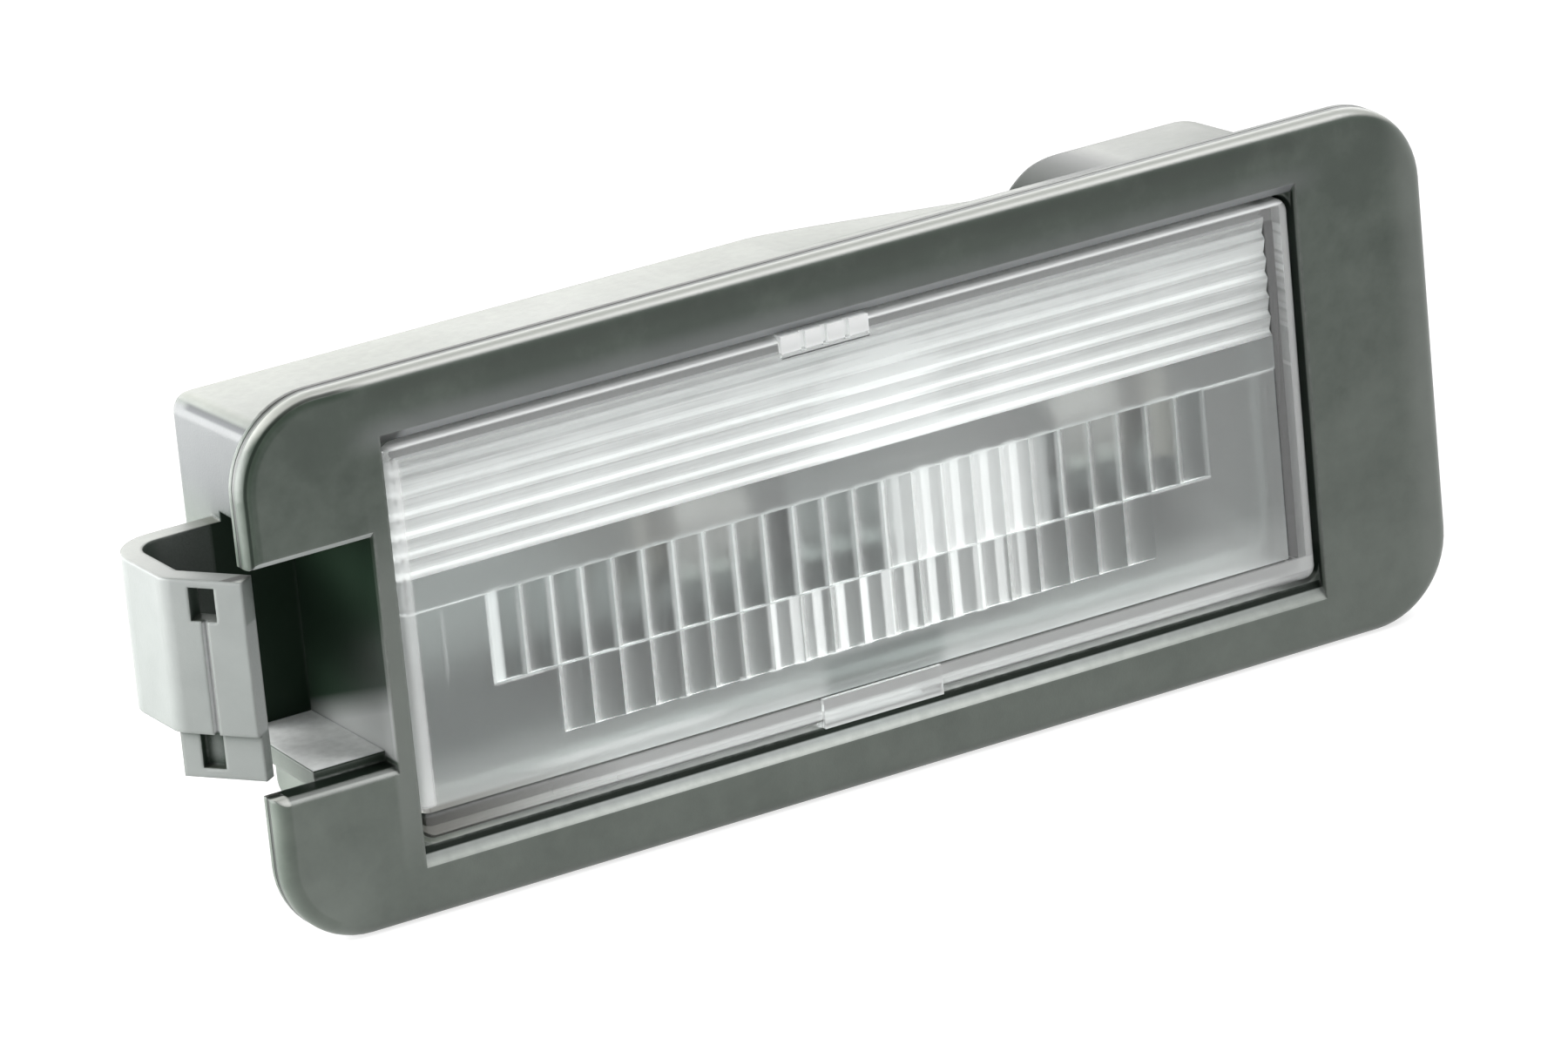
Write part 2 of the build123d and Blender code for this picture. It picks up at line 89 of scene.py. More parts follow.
class Graph:
    """One node tree, with short ways to add to it. A value is a socket, a number or a tuple of numbers."""

    def __init__(self, tree):
        self.tree = tree
        tree.nodes.clear()

    def add(self, kind, **settings):
        """A new shader node with its properties set."""
        made = self.tree.nodes.new("ShaderNode" + kind)
        for name, value in settings.items():
            setattr(made, name, value)
        return made

    def feed(self, socket, value):
        """Links or sets one input. A colour is given by its three parts."""
        if isinstance(value, bpy.types.NodeSocket):
            self.tree.links.new(value, socket)
        elif socket.type == "RGBA":
            socket.default_value = (*value, 1.0)
        else:
            socket.default_value = value

    def put(self, node, **inputs):
        """Feeds a node's inputs by name, with _ for a blank."""
        for name, value in inputs.items():
            self.feed(node.inputs[name.replace("_", " ")], value)
        return node

    def show(self, shader, kind="Material"):
        """Gives the tree an output that shows the shader."""
        self.put(self.add("Output" + kind), Surface=shader)

    def compute(self, operation, first, second=None, clamp=False):
        """The result of a Math node."""
        made = self.add("Math", operation=operation, use_clamp=clamp)
        self.feed(made.inputs[0], first)
        if second is not None:
            self.feed(made.inputs[1], second)
        return made.outputs[0]

    def product(self, first, *others):
        """All values multiplied."""
        for other in others:
            first = self.compute("MULTIPLY", first, other)
        return first

    def largest(self, first, *others):
        """The largest of the values."""
        for other in others:
            first = self.compute("MAXIMUM", first, other)
        return first

    def rest(self, value):
        """What the value leaves of 1."""
        return self.compute("SUBTRACT", 1.0, value)

    def span(self, value, low, high, to_low, to_high):
        """Runs from to_low to to_high while the value runs from low to high, and holds its ends."""
        made = self.add("MapRange")
        self.put(made, Value=value, From_Min=low, From_Max=high, To_Min=to_low, To_Max=to_high)
        return made.outputs["Result"]

    def above(self, value, low, soft=0.1):
        """1 where the value lies above low, with a soft edge."""
        made = self.add("MapRange", interpolation_type="SMOOTHSTEP")
        self.put(made, Value=value, From_Min=low - soft, From_Max=low + soft)
        return made.outputs["Result"]

    def below(self, value, high, soft=0.1):
        """1 where the value lies below high, with a soft edge."""
        made = self.add("MapRange", interpolation_type="SMOOTHSTEP")
        self.put(made, Value=value, From_Min=high - soft, From_Max=high + soft, To_Min=1.0, To_Max=0.0)
        return made.outputs["Result"]

    def between(self, value, low, high, soft=0.1):
        """1 where the value lies from low to high, with soft ends."""
        return self.product(self.above(value, low, soft), self.below(value, high, soft))

    def split(self, vector):
        """The three parts of a vector."""
        parts = self.add("SeparateXYZ")
        self.feed(parts.inputs[0], vector)
        return parts.outputs

    def place(self):
        """X, Y and Z of the lamp's frame in millimetres."""
        scaled = self.add("VectorMath", operation="SCALE")
        self.feed(scaled.inputs[0], self.add("TexCoord").outputs["Object"])
        self.put(scaled, Scale=1.0 / mm)
        return self.split(scaled.outputs[0])

    def noise(self, scale, detail=3.0, rough=0.5):
        """Noise of a scale per metre, or of one scale for each axis."""
        mapping = self.add("Mapping")
        scales = scale if isinstance(scale, tuple) else (scale, scale, scale)
        self.put(mapping, Vector=self.add("TexCoord").outputs["Object"], Scale=scales)
        made = self.add("TexNoise")
        self.put(made, Vector=mapping.outputs[0], Scale=1.0, Detail=detail, Roughness=rough)
        return made.outputs["Fac"]

    def vary(self, noise, to_low, to_high):
        """Runs from to_low to to_high over the usual reach of a noise."""
        return self.span(noise, *noise_reach, to_low, to_high)

    def cell_noise(self, value):
        """A fixed random number from 0 to 1 for each whole number of the value."""
        made = self.add("TexWhiteNoise", noise_dimensions="1D")
        self.put(made, W=self.compute("FLOOR", value))
        return made.outputs["Value"]

    def line_distance(self, value, start, pitch):
        """Distance from the nearest of the lines at start plus whole pitches."""
        steps = self.compute("DIVIDE", self.compute("SUBTRACT", value, start), pitch)
        past = self.compute("SUBTRACT", self.compute("FRACT", self.compute("ADD", steps, 0.5)), 0.5)
        return self.product(self.compute("ABSOLUTE", past), pitch)

    def outline_distance(self, x, z, half_x, half_z):
        """Distance outside a rectangle about the origin. Equal values make a round-cornered outline."""
        squares = []
        for value, half in ((x, half_x), (z, half_z)):
            beyond = self.largest(self.compute("SUBTRACT", self.compute("ABSOLUTE", value), half), 0.0)
            squares.append(self.product(beyond, beyond))
        return self.compute("SQRT", self.compute("ADD", *squares))

    def ramp(self, amount, *stops):
        """A colour ramp through (position, colour) stops."""
        made = self.put(self.add("ValToRGB"), Fac=amount)
        band = made.color_ramp
        while len(band.elements) < len(stops):
            band.elements.new(0.5)
        for element, (position, colour) in zip(band.elements, stops):
            element.position = position
            element.color = (*colour, 1.0)
        return made.outputs["Color"]

    def blend(self, amount, first, second):
        """The first colour turning into the second."""
        made = self.add("Mix", data_type="RGBA")
        return self.put(made, Factor=amount, A=first, B=second).outputs["Result"]

    def mix_shaders(self, amount, first, second):
        """The first shader turning into the second."""
        mix = self.add("MixShader")
        for socket, value in zip(mix.inputs, (amount, first, second)):
            self.feed(socket, value)
        return mix.outputs[0]

    def clear_to_lamps(self, surface, tint):
        """The surface, with rays from the lamps let through, so that what lies behind it is lit."""
        clear = self.put(self.add("BsdfTransparent"), Color=tint)
        shadow_ray = self.add("LightPath").outputs["Is Shadow Ray"]
        return self.mix_shaders(shadow_ray, surface.outputs[0], clear.outputs[0])

    def shows_background(self):
        """1 for rays that show the surroundings: from the camera, mirrored or through glass."""
        rays = self.add("LightPath").outputs
        return self.largest(rays["Is Camera Ray"], rays["Is Glossy Ray"], rays["Is Transmission Ray"])


def new_material(name, graph_kind=Graph):
    """A new material and the graph of its nodes."""
    made = bpy.data.materials.new(name)
    made.use_nodes = True
    return made, graph_kind(made.node_tree)


# Housing: places in millimetres in the lamp's frame, as a limit or as low and high ends.
bezel_length = 82.6
bezel_height = 34.0
bezel_corner = 5.5
bezel_front = -1.7
bay_half = 32.2
bay_left = -33.0
clip_right = -38.4
clip_z = (-6.7, 7.2)
clip_slot_z = (-5.35, -2.95)
clip_line_z = (-2.9, 4.0)
clip_line_rear = 4.4
notch_x = (-38.3, -32.6)
notch_y = (-1.2, 9.4)
notch_z = (-6.6, 7.35)
notch_floor_z = (-6.75, -6.2)
notch_shadow_z = (-7.3, -6.9)
notch_edge_z = (7.25, 7.75)
notch_wall_x = (-34.0, -32.0)
notch_wall_z = (-6.8, 7.0)
sill_z = (-13.95, -13.09)
sill_turn_z = (-13.3, -13.6)
sill_shadow_z = (-13.11, -12.60)
lens_gap_z = (-12.85, -12.5)
lintel_z = (12.6, 13.45)
lintel_corner = -30.5
jamb_x = (31.8, 33.4)
jamb_split = -1.32
jamb_rear = 9.0
brow_rear = -0.8
web_x = (-33.4, -31.8)
web_z = (-12.0, 7.0)
web_rear = -1.5
face_rear = -1.6
rise_z = (12.7, 14.2)
shade_z = (15.5, 16.6)
shoulder_x = (-40.0, -34.0)
shoulder_y = (0.3, 13.0)
left_wall_x = (-40.0, -34.5)
left_wall_y = (0.1, 20.0)
left_wall_low = 7.2
hump_x = (20.5, 26.5)
hump_right_x = (26.0, 40.0)
hump_y = (8.0, 20.0)
hump_z = (10.0, 14.0)
right_end_left = 39.4
right_end_rear = -0.6
left_end_x = (-42.0, -38.0)
left_end_rear = 0.05
upper_left_right = -33.5
upper_left_low = 6.9
upper_left_rear = -0.4
top_line_y = (-0.62, 0.04)
rim_line_y = (-0.66, -0.36)

# Face: distance from the lamp's middle, with a soft start that leaves the very middle a little plainer.
face_reach = (-1.0, 33.0)

# Rim: distances from the rectangle that joins the centres of the bezel's corners.
rim_start = 4.6
corner_line_at = (5.12, 5.30)
corner_rounding_at = (4.85, 5.25)

# Housing: sizes in metres, and the colour of the rim's fine lines.
cavity_reach = 12.0 * mm
edge_round = 0.3 * mm
grain_depth = 0.03 * mm
rim_line_depth = 0.15 * mm
line_black = (0.010, 0.014, 0.011)


class HousingGraph(Graph):
    """Black-green plastic, painted zone by zone with painted shade, light and highlights: cavities, upward
    faces, window, bezel, body and rim.
    """

    def __init__(self, tree):
        super().__init__(tree)
        self.x, self.y, self.z = self.place()
        self.normal = self.add("NewGeometry").outputs["Normal"]
        self.normal_x, _, self.normal_z = self.split(self.normal)
        self.upward = self.above(self.normal_z, 0.7)
        self.overhang = self.between(self.normal_z, -0.85, -0.35)
        self.cloud = self.noise(60.0, 4.0)
        self.blotch = self.noise(280.0, 5.0, 0.6)
        self.speck = self.noise(1500.0, 3.0)
        self.grains = self.vary(self.speck, 0.8, 1.0)
        cavity = self.add("AmbientOcclusion", samples=trace_samples, only_local=True)
        self.openness = self.put(cavity, Distance=cavity_reach).outputs["AO"]
        self.from_middle = self.compute("ABSOLUTE", self.x)
        self.bay = self.below(self.from_middle, bay_half)
        self.left_of_bay = self.below(self.x, bay_left)
        self.clip = self.product(self.below(self.x, clip_right), self.between(self.z, *clip_z, 0.05))
        self.not_clip = self.rest(self.clip)
        half_x = bezel_length / 2 - bezel_corner
        half_z = bezel_height / 2 - bezel_corner
        self.rim_distance = self.outline_distance(self.x, self.z, half_x, half_z)
        self.rim = self.above(self.rim_distance, rim_start)
        self.dulled = []

    def paint(self, amount, colour):
        """Turns the tone so far into a colour."""
        self.tone = self.blend(amount, self.tone, colour)

    def base(self):
        """Slow mottling, paler towards the lower edge as painted light from the floor, and a paler clip as a
        painted highlight.
        """
        mottle = self.product(self.compute("ADD", self.cloud, self.blotch), 0.5)
        self.tone = self.ramp(mottle, (0.35, (0.017, 0.029, 0.019)), (0.65, (0.036, 0.052, 0.038)))
        # Painted light from the floor: paler towards the lower edge, with random mottling in it.
        painted_floor_light = self.span(self.z, 14.0, -15.0, 0.0, 0.72)
        paler_and_painted_light = self.compute("ADD", painted_floor_light, self.vary(self.blotch, -0.17, 0.17), True)
        self.paint(paler_and_painted_light, (0.11, 0.128, 0.11))
        # Painted highlight: the clip paler than the rest of the same moulding.
        self.paint(self.product(self.clip, self.vary(self.cloud, 0.35, 0.5)), (0.22, 0.23, 0.23))

    def painted_hollow_shade(self):
        """Painted shade in cavities, in the clip slot and on the notch walls, but not on the fine line down
        the clip.
        """
        facing = self.below(self.normal_x, 0.70, 0.05)
        line_end = self.below(self.y, clip_line_rear)
        self.clip_line = self.product(self.clip, facing, self.between(self.z, *clip_line_z), line_end, 0.8)
        # Painted shade where the surface is hemmed in.
        hollow_shade = self.product(self.span(self.openness, 0.80, 0.35, 0.0, 0.9), self.rest(self.clip_line))
        # Painted shade in the clip slot and inside the notch.
        slot = self.product(self.clip, self.between(self.z, *clip_slot_z, 0.05))
        slot = self.product(slot, self.span(self.openness, 0.82, 0.65, 0.0, 0.95))
        inside = self.product(self.between(self.x, *notch_x), self.between(self.z, *notch_z, 0.05))
        inside = self.product(inside, self.between(self.y, *notch_y))
        self.notch = self.product(inside, self.rest(self.upward), 0.95)
        hollow_shade = self.largest(hollow_shade, slot, self.notch)
        self.paint(hollow_shade, (0.011, 0.022, 0.0135))
        self.dulled.append(hollow_shade)

    def paler_and_painted_light(self):
        """Paler tone on upward faces, more towards the rear, painted reflection on the notch floor, and that
        floor's painted light on the wall beside it.
        """
        # Paler tone on upward faces, more towards the rear.
        level = self.span(self.normal_z, 0.70, 0.97, 0.0, 1.0)
        towards_rear = self.span(self.y, 0.5, 14.0, 0.08, 0.44)
        self.paint(self.product(level, self.grains, towards_rear), (0.42, 0.43, 0.37))
        # Painted reflection: the notch floor nearly white, though it lies in shade.
        notch_floor = self.product(self.left_of_bay, self.between(self.z, *notch_floor_z, 0.05), self.upward)
        self.paint(self.product(notch_floor, self.grains), (0.86, 0.88, 0.87))
        # Painted light from the notch floor on the wall beside it.
        wall = self.product(self.between(self.x, *notch_wall_x), self.below(self.normal_x, -0.5))
        wall = self.product(wall, self.between(self.z, *notch_wall_z))
        depth = self.compute("ADD", self.y, -bezel_front)
        height = self.compute("ADD", self.z, self.product(depth, 0.35))
        self.paint(self.product(wall, self.span(height, -1.8, -3.6, 0.0, 0.85)), (0.27, 0.28, 0.275))

    def window_edges(self):
        """Painted highlight on the lower bevel of the window, painted light in the gap above it and on the
        front of the window's right wall, and painted shadow lines along the bevel, on that wall and under the
        notch.
        """
        bevel = self.product(self.bay, self.between(self.normal_z, 0.35, 0.75))
        left_fade = self.span(self.x, -31.0, -15.0, 0.62, 1.0)
        right_fade = self.span(self.x, 12.0, 31.0, 1.0, 0.45)
        # Painted highlight on the window's lower bevel, brightest at its foot.
        sill = self.product(bevel, self.between(self.z, *sill_z, 0.06), left_fade, right_fade)
        sill_foot = self.span(self.z, *sill_turn_z, 0.0, 1.0)
        sill_tone = self.blend(sill_foot, (0.28, 0.303, 0.293), (0.47, 0.50, 0.47))
        self.paint(self.product(sill, self.grains), sill_tone)
        # Painted light: the gap above the bevel paler than its shade.
        gap = self.product(self.bay, self.between(self.z, *lens_gap_z, 0.03), self.upward)
        self.paint(self.product(gap, self.span(self.x, -31.0, -20.0, 0.4, 1.0)), (0.085, 0.09, 0.085))
        jamb = self.product(self.between(self.x, *jamb_x), self.below(self.normal_x, -0.5))
        # Painted shadow lines along the bevel, on the window's right wall and under the notch.
        shadow_line = self.largest(
            self.product(bevel, self.between(self.z, *sill_shadow_z, 0.06)),
            self.product(jamb, self.between(self.y, jamb_split, jamb_rear, 0.14)),
            self.product(self.left_of_bay, self.between(self.z, *notch_shadow_z, 0.05), self.upward),
        )
        # Painted light on the front strip of the window's right wall.
        self.paint(self.product(jamb, self.below(self.y, jamb_split, 0.14)), (0.10, 0.115, 0.10))
        self.paint(shadow_line, (0.006, 0.010, 0.007))
        self.dulled.append(shadow_line)

    def bezel_face(self):
        """Painted highlight on the upper rounding, painted light on strips beside and above the window,
        painted shade in a strip under the top edge.
        """
        # Painted highlight on the rim's upper rounding.
        brow = self.product(self.rim, self.below(self.y, brow_rear), self.above(self.normal_z, 0.60, 0.15))
        self.paint(self.product(brow, 0.8), (0.40, 0.41, 0.38))
        # Painted light on the strip beside the window's left end.
        web = self.product(self.between(self.x, *web_x, 0.2), self.between(self.z, *web_z, 3.0))
        web = self.product(web, self.below(self.y, web_rear, 0.05), 0.6)
        self.paint(web, (0.13, 0.145, 0.13))
        # Painted light on the strip above the window.
        front = self.below(self.y, face_rear, 0.05)
        front = self.product(front, self.between(self.from_middle, *face_reach, 2.0))
        right_fade = self.span(self.x, -4.0, 8.0, 0.7, 0.4)
        self.paint(self.product(front, self.between(self.z, *rise_z, 0.8), right_fade), (0.13, 0.14, 0.138))
        # Painted shade in a strip under the top edge.
        shade = self.product(front, self.between(self.z, *shade_z, 0.6))
        self.paint(self.product(shade, 0.40), (0.012, 0.019, 0.012))
        self.dulled.append(self.product(shade, 0.10))

    def overhangs(self):
        """Painted highlights on the upper bevels of the window and the notch, dark at the window bevel's left
        end, and painted light in the line down the clip.
        """
        # Painted highlight on the window's upper bevel, which faces down.
        lintel = self.product(self.bay, self.between(self.z, *lintel_z, 0.05), self.overhang)
        self.paint(lintel, (0.19, 0.20, 0.205))
        self.paint(self.product(lintel, self.below(self.x, lintel_corner, 0.4)), (0.008, 0.011, 0.009))
        # Painted highlight on the notch's upper bevel.
        notch_edge = self.product(self.left_of_bay, self.between(self.z, *notch_edge_z, 0.04), self.overhang)
        self.paint(notch_edge, (0.34, 0.36, 0.35))
        # Painted light in the groove down the clip, over its shade.
        painted_groove_light = self.product(self.clip_line, self.span(self.openness, 0.9, 0.5, 0.0, 1.0))
        self.paint(painted_groove_light, (0.55, 0.56, 0.56))

    def body(self):
        """Painted dark reflection along the left shoulder, painted shade on the left wall and on the hump at
        the right.
        """
        # Painted dark reflection along the rounding of the left shoulder.
        slope = self.between(self.normal_z, 0.42, 0.72, 0.08)
        shoulder = self.product(slope, self.between(self.x, *shoulder_x, 0.2))
        shoulder = self.product(shoulder, self.between(self.y, *shoulder_y, 0.6))
        self.paint(self.product(shoulder, 0.9), (0.02, 0.024, 0.026))
        self.dulled.append(self.product(shoulder, 0.7))
        # Painted shade on the left wall.
        left_wall = self.product(self.between(self.y, *left_wall_y), self.below(self.normal_x, -0.8))
        left_wall = self.product(left_wall, self.between(self.x, *left_wall_x))
        left_wall = self.product(left_wall, self.above(self.z, left_wall_low, 2.0), 0.7)
        self.paint(left_wall, (0.036, 0.040, 0.046))
        # Painted shade on the hump at the right.
        hump_right = self.product(self.between(self.x, *hump_right_x, 2.0), 0.4)
        hump = self.largest(self.between(self.x, *hump_x, 1.8), hump_right)
        hump = self.product(hump, self.between(self.z, *hump_z), self.between(self.y, *hump_y, 0.2))
        self.paint(hump, (0.014, 0.020, 0.015))
        self.dulled.append(self.product(hump, 0.5))

    def rim_tones(self):
        """Painted light on the right end, duller left end with a fine line at the upper left, painted shadow
        line along the top.
        """
        # Painted light: the bezel's right end paler.
        right_end = self.product(self.above(self.x, right_end_left, 1.2), self.below(self.y, right_end_rear))
        self.paint(self.product(right_end, 0.5), (0.15, 0.165, 0.15))
        left_end = self.product(self.rim, self.between(self.x, *left_end_x, 0.5))
        left_end = self.product(left_end, self.below(self.y, left_end_rear, 0.05), self.not_clip)
        upper_left = self.below(self.y, upper_left_rear)
        upper_left = self.product(upper_left, self.below(self.x, upper_left_right, 1.5))
        upper_left = self.product(upper_left, self.above(self.z, upper_left_low, 0.3))
        self.corner_line = self.product(self.between(self.rim_distance, *corner_line_at, 0.06), upper_left)
        rounding = self.product(self.between(self.rim_distance, *corner_rounding_at, 0.28), upper_left)
        # Painted shadow line along the top, at the rim's rear edge.
        right_fade = self.span(self.x, -8.0, 16.0, 0.85, 0.25)
        top_line = self.product(self.rim, self.between(self.y, *top_line_y, 0.08))
        top_line = self.product(top_line, self.above(self.normal_z, 0.8), right_fade)
        self.paint(top_line, (0.035, 0.034, 0.030))
        self.dulled += [
            self.product(left_end, 0.42),
            self.product(rounding, 0.75),
            self.product(top_line, 0.8),
            self.corner_line,
        ]

    def rubbed_edges(self):
        """Paler tone where edges are rubbed, but not in the notch."""
        rounded = self.put(self.add("Bevel", samples=trace_samples), Radius=edge_round)
        self.rounded_normal = rounded.outputs[0]
        along = self.add("VectorMath", operation="DOT_PRODUCT")
        self.feed(along.inputs[0], self.rounded_normal)
        self.feed(along.inputs[1], self.normal)
        turned = self.span(along.outputs["Value"], 0.99, 0.80, 0.0, 1.0)
        rubbed = self.product(turned, self.span(self.speck, 0.35, 0.65, 0.2, 0.8), self.rest(self.notch))
        self.paint(rubbed, (0.20, 0.215, 0.20))

    def rim_lines(self):
        """Dark line round the rim, and the one at its upper left."""
        self.rim_line = self.product(self.rim, self.between(self.y, *rim_line_y, 0.05), self.not_clip)
        self.paint(self.product(self.rim_line, 0.9), line_black)
        self.paint(self.product(self.corner_line, 0.8), line_black)

    def relief(self):
        """Normal with rounded edges, spark-eroded grain and the line round the rim."""
        grain = self.add("Bump")
        self.put(grain, Height=self.noise(9000.0, 2.0), Strength=0.25, Distance=grain_depth)
        self.put(grain, Normal=self.rounded_normal)
        groove = self.add("Bump", invert=True)
        self.put(groove, Height=self.rim_line, Strength=1.0, Distance=rim_line_depth, Normal=grain.outputs[0])
        return groove.outputs[0]


def housing_plastic():
    """Moulded black-green plastic, painted from the base tone to the finest lines, with painted shade, light
    and highlights among them.
    """
    made, graph = new_material("housing_plastic", HousingGraph)
    graph.base()
    graph.painted_hollow_shade()
    graph.paler_and_painted_light()
    graph.window_edges()
    graph.bezel_face()
    graph.overhangs()
    graph.body()
    graph.rim_tones()
    graph.rubbed_edges()
    graph.rim_lines()
    surface = graph.add("BsdfPrincipled")
    graph.put(surface, Base_Color=graph.tone, IOR=1.6, Normal=graph.relief())
    graph.put(surface, Specular_IOR_Level=graph.span(graph.largest(*graph.dulled), 0.0, 0.9, 0.5, 0.06))
    graph.put(surface, Roughness=graph.vary(graph.cloud, 0.28, 0.38))
    graph.show(surface.outputs[0])
    return made


# Lens: places in millimetres in the lamp's frame, as a limit or as low and high ends.
lens_back = 0.62
lens_front = -0.9
prism_top = 11.0
prism_pitch = 1.25
prism_z = (3.5, 10.45)
prism_bright_x = (-4.0, 9.0)
dim_left_end = -4.0
dim_left_high = 5.7
dim_right_start = 17.0
dim_right_high = 6.8
crest_share = 0.72
valley_share = 0.95
ridge_line = 1.35
flute_pitch = 2.1
upper_half = 25.2
lower_half = 21.0
row_margin = 0.2
row_split = -4.4
row_bottom = -8.7
first_ridge_x = (-25.5, -24.5)
glare_x = (2.5, 13.4)
stripe_start = -6.2
stripe_pitch = 1.62
stripes_x = (-6.8, 12.2)
stripes_glow_x = (-7.0, 12.8)
row_line_z = (-4.54, -4.30)
row_dots_z = (-8.75, -8.5)
ridge_line_z = (1.25, 1.42)
ridge_line_right_z = (1.15, 1.45)
ridge_line_right = 21.0
upright_x = (-28.5, -28.2)
upright_z = (-3.5, 1.3)
over_tab_x = (-2.9, 5.4)
over_tab_high = -9.0
low_streak_x = (-24.0, -9.0)
low_streak_z = (-10.7, -10.0)
above_bars_high = 11.5
top_tab_x = (-4.8, 1.4)
top_tab_low = 11.5
low_tab_front = -1.33
low_tab_high = -5.0
left_rim = -30.75
left_rim_z = (-10.3, 11.7)
right_rim = 30.9
inner_right_rim = 29.75
top_rim = 12.1
inner_top_rim = 11.3
low_rim = -11.6
inner_low_rim_z = (-11.8, -10.75)
low_skirt = -11.2
grey_lower_right = -8.0
brown_high = -10.85


class LensGraph(Graph):
    """How white each part of the clear lens looks, painted as frost that stands in for highlights and for the
    light that the optics send out, from 0 for clear to 1 for white.
    """

    def __init__(self, tree):
        super().__init__(tree)
        self.x, self.y, self.z = self.place()
        self.back = self.above(self.y, lens_back, 0.08)
        self.face = self.below(self.y, lens_front)
        upper_end = upper_half + row_margin
        lower_end = lower_half + row_margin
        self.upper_length = self.between(self.x, -upper_end, upper_end)
        self.lower_length = self.between(self.x, -lower_end, lower_end)
        self.upper = self.product(self.upper_length, self.between(self.z, row_split, ridge_line, 0.05))
        self.lower = self.product(self.lower_length, self.between(self.z, row_bottom, row_split, 0.05))
        self.glare = self.between(self.x, *glare_x, 2.0)
        self.ridge_distance = self.line_distance(self.x, -upper_half, flute_pitch)
        flute = self.compute("DIVIDE", self.compute("ADD", self.x, upper_half + flute_pitch / 2), flute_pitch)
        self.flute_random = self.cell_noise(flute)
        self.strip = self.product(self.back, self.between(self.z, ridge_line, prism_z[0]))
        over_tab = self.product(self.back, self.between(self.x, *over_tab_x, 0.6))
        self.over_tab = self.product(over_tab, self.below(self.z, over_tab_high, 0.25))

    def prism_bars(self):
        """Bars painted white as the light the prisms send out, with painted highlights on the crests, uneven
        along their length, darker low down at both ends.
        """
        bar = self.compute("DIVIDE", self.compute("SUBTRACT", prism_top, self.z), prism_pitch)
        crest_line = prism_top - crest_share * prism_pitch
        crest = self.below(self.line_distance(self.z, crest_line, prism_pitch), 0.13, 0.10)
        crest = self.product(crest, self.span(self.cell_noise(bar), 0.0, 1.0, 0.35, 0.55))
        valley_line = prism_top - valley_share * prism_pitch
        valley = self.below(self.line_distance(self.z, valley_line, prism_pitch), 0.10, 0.09)
        middle = self.between(self.x, *prism_bright_x, 6.0)
        valley = self.product(valley, self.span(middle, 0.0, 1.0, 1.0, 0.35))
        body = self.product(
            self.largest(self.span(self.z, 8.2, 9.8, 0.80, 0.98), self.product(middle, 1.15)),
            self.vary(self.noise(150.0), 0.85, 1.1),
            self.vary(self.noise((60.0, 60.0, 2600.0)), 0.72, 1.2),
            self.span(valley, 0.0, 1.0, 1.08, 0.74),
        )
        low_left = self.product(self.below(self.x, dim_left_end, 4.0), self.below(self.z, dim_left_high, 0.4))
        low_right = self.above(self.x, dim_right_start, 8.0)
        low_right = self.product(low_right, self.below(self.z, dim_right_high, 0.6))
        return self.product(
            self.back,
            self.between(self.z, *prism_z, 0.15),
            self.compute("ADD", body, crest, True),
            self.span(low_right, 0.0, 1.0, 1.0, 0.6),
            self.span(low_left, 0.0, 1.0, 1.0, 0.76),
        )

    def flute_ridges(self):
        """Painted highlight lines on the ridges between the flutes, with a broad first one."""
        strength = self.span(self.flute_random, 0.0, 1.0, 0.50, 0.82)
        strength = self.product(strength, self.span(self.x, 9.0, 16.0, 1.0, 0.62))
        faint_left = self.span(self.x, -16.0, -6.0, 0.24, 0.60)
        faint_right = self.span(self.x, 9.0, 14.0, 1.0, 0.45)
        rows = self.largest(self.upper, self.product(self.lower, faint_left, faint_right))
        ridges = self.product(self.below(self.ridge_distance, 0.24, 0.18), strength, rows)
        first = self.product(self.upper, self.between(self.x, *first_ridge_x, 0.2), 0.95)
        return self.largest(ridges, first)

    def flute_glints(self):
        """Painted glare in the upper row, painted glint stripes in the lower one."""
        flute_middle = self.line_distance(self.x, flute_pitch / 2 - upper_half, flute_pitch)
        glint = self.product(self.below(flute_middle, 0.36, 0.15), 0.95)
        stripes = self.below(self.line_distance(self.x, stripe_start, stripe_pitch), 0.34, 0.16)
        stripes = self.product(stripes, self.lower, self.between(self.x, *stripes_x, 1.2))
        glow = self.between(self.x, *stripes_glow_x, 2.0)
        glow = self.product(glow, self.span(self.x, 2.0, 8.0, 0.24, 0.34))
        return self.largest(
            self.product(stripes, self.span(self.x, 2.0, 12.0, 0.95, 0.80)),
            self.product(self.lower, self.largest(glow, 0.14)),
            self.product(self.largest(glint, 0.65), self.upper, self.glare),
        )

    def flute_ends(self):
        """Painted highlight lines between and under the rows, along the ridge line above them and beside
        them.
        """
        row_line = self.product(self.between(self.z, *row_line_z), self.upper_length)
        dots = self.product(self.below(self.ridge_distance, 0.45, 0.2), self.lower_length)
        dots = self.product(dots, self.between(self.z, *row_dots_z, 0.06))
        faint_left = self.span(self.x, -16.0, -6.0, 0.3, 0.7)
        faint_right = self.span(self.x, 9.0, 14.0, 1.0, 0.35)
        step_fade = self.span(self.x, -26.0, -24.5, 0.75, 0.28)
        step_right = self.between(self.z, *ridge_line_right_z, 0.08)
        step_right = self.product(step_right, self.above(self.x, ridge_line_right, 3.0))
        upright = self.product(self.between(self.x, *upright_x, 0.15), self.between(self.z, *upright_z, 1.0))
        return self.largest(
            self.product(row_line, self.span(self.flute_random, 0.0, 1.0, 0.65, 0.35)),
            self.product(dots, faint_left, faint_right),
            self.product(self.between(self.z, *ridge_line_z, 0.06), step_fade),
            self.product(step_right, 0.6),
            self.product(upright, 0.22),
        )

